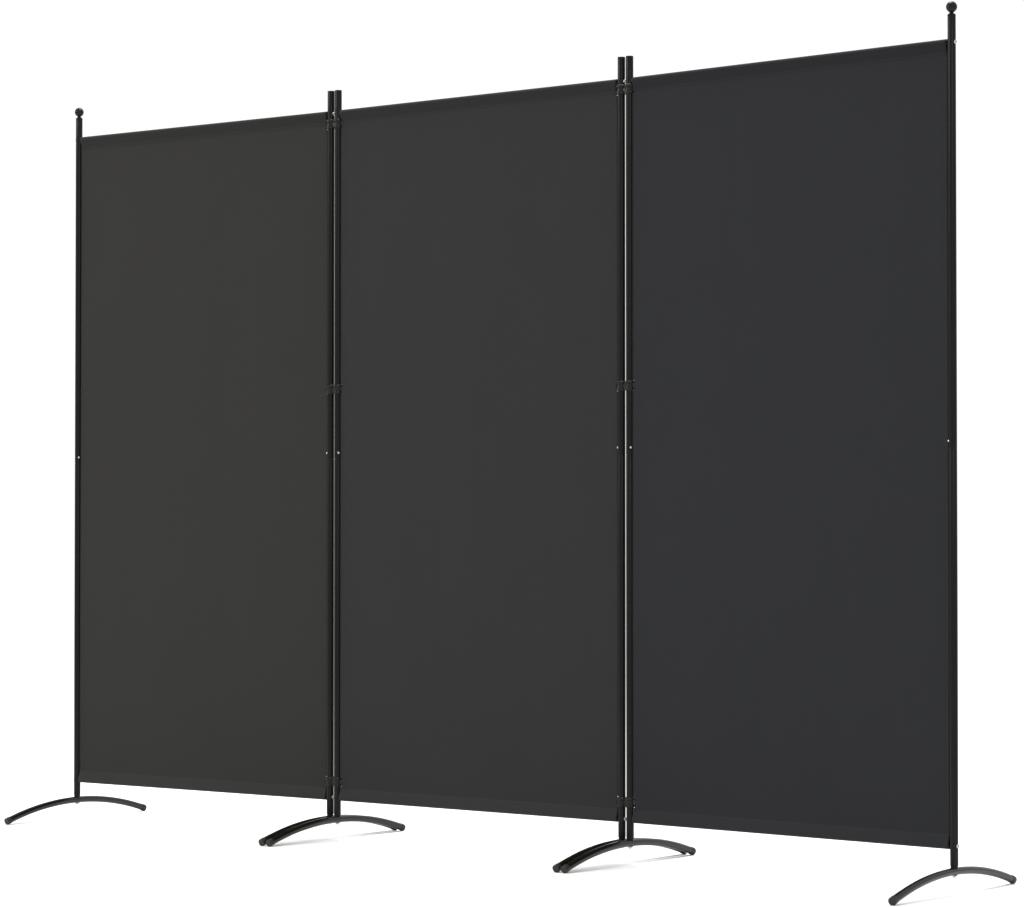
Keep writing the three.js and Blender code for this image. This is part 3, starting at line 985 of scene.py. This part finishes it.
def seam_lines(panel, grid, seams):
    """The lines that the stitches follow, just proud of the cloth's front and back."""
    proud = CLOTH_THICKNESS / 2 + MESH_GAP
    lines = []
    for name, row in seams.items():
        side = 1 if name.endswith("back") else -1
        lines.append([point + Vector((0, side * proud, 0)) for point in grid[row]])
    for column in (2, len(grid[0]) - 3):
        for side in (-1, 1):
            rows = grid[seams["top_front"] + 1 : seams["bottom_front"]]
            lines.append([row[column] + Vector((0, side * proud, 0)) for row in rows])
    points, edges = [], []
    for line in lines:
        first = len(points)
        points += line
        edges += [(first + i, first + i + 1) for i in range(len(line) - 1)]
    mesh = bpy.data.meshes.new("seams")
    mesh.from_pydata(points, edges, [])
    mesh.transform(panel_frame(panel))
    return mesh


def add_cloth(panel):
    cloth, grid, along, seams = cloth_panel(panel, CLOTH)
    stitches = add_object(f"{panel}_panel_stitching", seam_lines(panel, grid, seams), THREAD)
    values = {"Pitch": 3.4 * MM, "Length": 2.7 * MM, "Thread": 0.42 * MM, "Finish": THREAD}
    run_tree(stitches, STITCH, values)
    smooth(stitches.data, 60)
    body = f"{panel}_panel"
    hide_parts(f"{panel}_panel_fabric")
    for piece in (cloth, stitches):
        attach(piece, body)


# ---------- feet ----------


def arch():
    """The foot's arch, as its radius and the angle of its ends, fitted to the foot's length."""
    # each round starts from the last angle, and soon nothing changes
    angle = 0.3
    for _ in range(20):
        end = CAP_RADIUS * math.cos(angle) - CAP_FLAT
        half = FOOT_REACH - CAP_RADIUS * math.sin(angle)
        rise = FOOT_CREST - end
        radius = (half * half + rise * rise) / (2 * rise)
        angle = math.asin(half / radius)
    return radius, angle


ARCH_RADIUS, ARCH_END = arch()


def arch_point(angle):
    height = FOOT_CREST - ARCH_RADIUS * (1 - math.cos(angle))
    return Vector((0, ARCH_RADIUS * math.sin(angle), height))


def foot_tube():
    """A tube bent to the arch, open at its ends, with a saddle seat for the post."""
    end = ARCH_END - 2.2 * MM / ARCH_RADIUS
    sides, steps = 40, 72
    rings = []
    for radius, order in ((FOOT_RADIUS, 1), (FOOT_RADIUS - FOOT_WALL, -1)):
        angles = [end * (2 * i / steps - 1) for i in range(steps + 1)][::order]
        for angle in angles:
            out = Vector((0, math.sin(angle), math.cos(angle)))
            centre = arch_point(angle)
            ring = []
            for k in range(sides):
                turn = 2 * math.pi * k / sides
                ring.append(centre + radius * (math.cos(turn) * Vector((1, 0, 0)) + math.sin(turn) * out))
            rings.append(ring)
    tube = skin(rings, loop=True)
    hole = rod((0, 0, 0), (0, 0, 2 * SEAT_TOP), BOLT_HOLE)
    return smooth(carved(tube, [hole]))


def saddle_seat():
    """The short steel seat between the arch and the post, hollowed to fit the arch."""
    radius = 7.7 * MM
    corners = [
        (BOLT_HOLE, FOOT_CREST, 0),
        (radius, FOOT_CREST, 0),
        (radius, SEAT_TOP, 0.3 * MM),
        (BOLT_HOLE, SEAT_TOP, 0),
    ]
    seat = turned(rounded(corners, closed=True), 48, loop=True)
    reach = 15 * MM
    centre = Vector((0, 0, FOOT_CREST))
    tube = rod(centre - Vector((0, reach, 0)), centre + Vector((0, reach, 0)), FOOT_RADIUS - 0.1 * MM, 48)
    return smooth(carved(seat, [tube]))


def end_cap(side):
    """A plastic cap pushed over the end of the arch, flat where it stands on the floor."""
    inner = FOOT_RADIUS + MESH_GAP
    socket_end = CAP_LENGTH - 1.9 * MM
    dimple = CAP_LENGTH - 0.7 * MM
    corners = [
        (0, socket_end, 0),
        (inner, socket_end, 0),
        (inner, 0, 0),
        (CAP_RADIUS, 0, 0.35 * MM),
        (CAP_RADIUS, CAP_LENGTH, 1.3 * MM),
        (3.1 * MM, CAP_LENGTH, 0.3 * MM),
        (2.7 * MM, CAP_LENGTH - 0.6 * MM, 0.3 * MM),
        (0.9 * MM, dimple, 0),
        (0, dimple, 0),
    ]
    cap = turned(rounded(corners, steps=5), 64)
    face = arch_point(side * ARCH_END)
    out = Vector((0, side * math.cos(ARCH_END), -math.sin(ARCH_END)))
    turn = UP.rotation_difference(out).to_matrix().to_4x4()
    place = Matrix.Translation(face - out * CAP_LENGTH) @ turn
    wall = 0.25 * MM
    for vertex in cap.vertices:
        inside = math.hypot(vertex.co.x, vertex.co.y) < inner + 0.1 * MM and vertex.co.z < CAP_LENGTH - MM
        point = place @ vertex.co
        point.z = max(point.z, wall if inside else 0)
        vertex.co = point
    return smooth(cap)


# ---------- bolts ----------


def button_bolt(head_height, shank):
    """A button-head bolt with a hexagon socket. Its head's underside is at 0 and its shank goes down."""
    sides = 48
    socket = 1.7 * MM
    socket_edge = 0.15 * MM
    socket_depth = 1.6 * MM
    socket_tip = 2.1 * MM
    corners = [
        (BOLT_RADIUS - 0.5 * MM, -shank, 0),
        (BOLT_RADIUS, -shank + 0.6 * MM, 0),
        (BOLT_RADIUS, 0, 0),
        (BOLT_HEAD, 0, 0.12 * MM),
        (BOLT_HEAD, 0.3 * head_height, 0.3 * MM),
        (0.86 * BOLT_HEAD, 0.66 * head_height, 0.8 * MM),
        (0.62 * BOLT_HEAD, 0.93 * head_height, 0.8 * MM),
        (0.52 * BOLT_HEAD, head_height, 0),
    ]
    rings = []
    angles = [2 * math.pi * i / sides for i in range(sides)]
    for radius, height in rounded(corners):
        rings.append([(radius * math.cos(a), radius * math.sin(a), height) for a in angles])
    hexagon = []
    for a in angles:
        off = (a + math.pi / 6) % (math.pi / 3) - math.pi / 6
        hexagon.append((socket * math.cos(a) / math.cos(off), socket * math.sin(a) / math.cos(off)))
    for scale, depth in ((1.06, 0), (1.0, socket_edge), (1.0, socket_depth)):
        rings.append([(x * scale, y * scale, head_height - depth) for x, y in hexagon])
    rings.append([(0, 0, head_height - socket_tip)])
    return smooth(skin(rings), 28)


def washer():
    radius = 7 * MM
    corners = [
        (BOLT_HOLE, -WASHER_THICKNESS, 0.1 * MM),
        (radius, -WASHER_THICKNESS, 0.25 * MM),
        (radius, 0, 0.25 * MM),
        (BOLT_HOLE, 0, 0.1 * MM),
    ]
    return smooth(turned(rounded(corners, closed=True), 48, loop=True))


# ---------- hinge clips ----------


def clip_outline(radius, web, sides=40):
    """The outline of two circles side by side and the web between them. web is half its thickness."""
    half = HINGE_SPACING / 2
    open_angle = math.pi - math.asin(web / radius)
    right = []
    for i in range(sides + 1):
        angle = open_angle * (2 * i / sides - 1)
        right.append((half + radius * math.cos(angle), radius * math.sin(angle)))
    return right + [(-x, -y) for x, y in right]


HINGE_SPACING = (post_axis("middle", "left") - post_axis("left", "right")).length
CLIP_BORE = POST_RADIUS + 0.35 * MM
CLIP_WAIST = POST_RADIUS + 1.7 * MM
CLIP_RIM = POST_RADIUS + 3.8 * MM
CLIP_WEB = 5.6 * MM


def hinge_clip():
    """A moulded figure of eight: two rings with a raised rim above and below a thinner waist."""
    half = CLIP_HEIGHT / 2
    rim_height = 6.5 * MM
    bevel = 1.2 * MM
    waist = half - rim_height
    corners = [
        (CLIP_RIM - bevel, half, 0),
        (CLIP_RIM, half - bevel, 0.8 * MM),
        (CLIP_RIM, waist + 0.3 * MM, 0.6 * MM),
        (CLIP_WAIST, waist - 0.4 * MM, 0.6 * MM),
        (CLIP_WAIST, -waist + 0.4 * MM, 0.6 * MM),
        (CLIP_RIM, -waist - 0.3 * MM, 0.6 * MM),
        (CLIP_RIM, -half + bevel, 0.8 * MM),
        (CLIP_RIM - bevel, -half, 0),
    ]
    rings = []
    for radius, height in rounded(corners):
        web = CLIP_WEB - (CLIP_RIM - radius) * 0.2
        rings.append([(x, y, height) for x, y in clip_outline(radius, web)])
    bores = []
    for x in (-HINGE_SPACING / 2, HINGE_SPACING / 2):
        bores.append(rod((x, 0, -half - MM), (x, 0, half + MM), CLIP_BORE, 64))
    return smooth(carved(skin(rings), bores))


# ---------- the screen put together ----------


def add_part(name, mesh, finish, place, body, nodes=()):
    """A finished piece: placed, riding on its body, and standing for its CAD nodes."""
    mesh.transform(place)
    piece = add_object(name, mesh, finish)
    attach(piece, body)
    if nodes:
        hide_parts(*nodes)
    return piece


def add_post(panel, side):
    post = post_name(panel, side)
    body = f"{panel}_panel"
    place = post_frame(panel, side)
    lower, upper = post + "_lower_tube", post + "_upper_tube"
    add_part(post + "_lower", lower_tube(side), POST_PAINT, place, body, [lower])
    add_part(post + "_upper", upper_tube(side), POST_PAINT, place, body, [upper])
    node = post + "_snap_button"
    add_part(post + "_snap", snap_button(side), ZINC, place, node, [node])
    finial = post + "_ball_finial"
    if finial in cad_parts:
        add_part(post + "_ball", ball_finial(finial), GLOSSY, place, body, [finial])
    else:
        add_part(post + "_plug", post_plug(), CAP_PLASTIC, place, body)


def add_foot(panel, side):
    post = post_name(panel, side)
    node = post + "_foot"
    place = Matrix.Translation(post_axis(panel, side))
    add_part(node + "_tube", foot_tube(), FOOT_PAINT, place, node, [node])
    add_part(node + "_seat", saddle_seat(), POST_PAINT, place, node)
    for name, end in (("front", -1), ("back", 1)):
        add_part(f"{node}_{name}_cap", end_cap(end), CAP_PLASTIC, place, node)


def add_bolts(panel):
    """The four rail bolts, the two foot bolts and their washers of one panel."""
    body = f"{panel}_panel"
    rail_bolts, foot_bolts, washers = [], [], []
    turn = panel_frame(panel).to_3x3()
    for side, sign in SIDES.items():
        axis = post_axis(panel, side)
        outward = turn @ Vector((sign, 0, 0))
        for height in (BOTTOM_RAIL, TOP_RAIL):
            point = axis + UP * height + outward * (POST_RADIUS + MESH_GAP)
            rail_bolts.append((point, outward))
        under = FOOT_CREST - FOOT_RADIUS - MESH_GAP
        washers.append((axis + UP * under, UP))
        foot_bolts.append((axis + UP * (under - WASHER_THICKNESS - MESH_GAP), -UP))
    posts = [post_name(panel, side) for side in SIDES]
    bolts = repeated(f"{panel}_panel_rail_bolts", button_bolt(2 * MM, 34 * MM), rail_bolts, ZINC)
    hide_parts(*[f"{post}_{place}_rail_bolt" for post in posts for place in ("bottom", "top")])
    feet = repeated(f"{panel}_panel_foot_bolts", button_bolt(3.6 * MM, 38 * MM), foot_bolts, ZINC)
    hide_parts(*[post + "_foot_bolt" for post in posts])
    rings = repeated(f"{panel}_panel_washers", washer(), washers, ZINC)
    for piece in (bolts, feet, rings):
        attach(piece, body)


def add_clips(hinge, inner, outer):
    """The three clips of one hinge, which joins the inner and the outer (panel, side) posts."""
    first, second = post_axis(*inner), post_axis(*outer)
    along = (second - first).normalized()
    turn = Matrix((along, UP.cross(along), UP)).transposed().to_4x4()
    for place in CLIP_PLACES:
        node = f"{hinge}_{place}_hinge_clip"
        height = middle_of(node).z
        where = Matrix.Translation((first + second) / 2 + UP * height) @ turn
        name = f"{hinge}_{place}_clip"
        add_part(name, hinge_clip(), CLIP_PLASTIC, where, f"{hinge}_hinge", [node])


def add_rails(panel):
    for place, height in (("bottom", BOTTOM_RAIL), ("top", TOP_RAIL)):
        node = f"{panel}_panel_{place}_rail"
        body = f"{panel}_panel"
        add_part(node + "_tube", rail(height), POST_PAINT, panel_frame(panel), body, [node])


set_camera()
set_studio()

POST_PAINT = powder_coated_steel("powder_coated_steel_posts", "#0d0e0d", "#121311", 0.12, (0.18, 0.26))
FOOT_PAINT = powder_coated_steel("powder_coated_steel_feet", "#0f0f0a", "#151510", 0.32, (0.1, 0.15))
CLIP_PLASTIC = moulded_nylon("moulded_nylon_clips", "#0c0c0b", "#131312", 0.2)
CAP_PLASTIC = moulded_nylon("moulded_nylon_caps", "#242423", "#2e2e2d", 0.16)
GLOSSY = glossy_abs()
ZINC = zinc_plated_steel()
CLOTH = woven_polyester()
THREAD = polyester_thread()
REPEAT = repeat_tree()
STITCH = stitch_tree()

for panel_name in PANELS:
    add_rails(panel_name)
    add_cloth(panel_name)
    add_bolts(panel_name)
    for side_name in SIDES:
        add_post(panel_name, side_name)
        add_foot(panel_name, side_name)
add_clips("left", ("middle", "left"), ("left", "right"))
add_clips("right", ("middle", "right"), ("right", "left"))
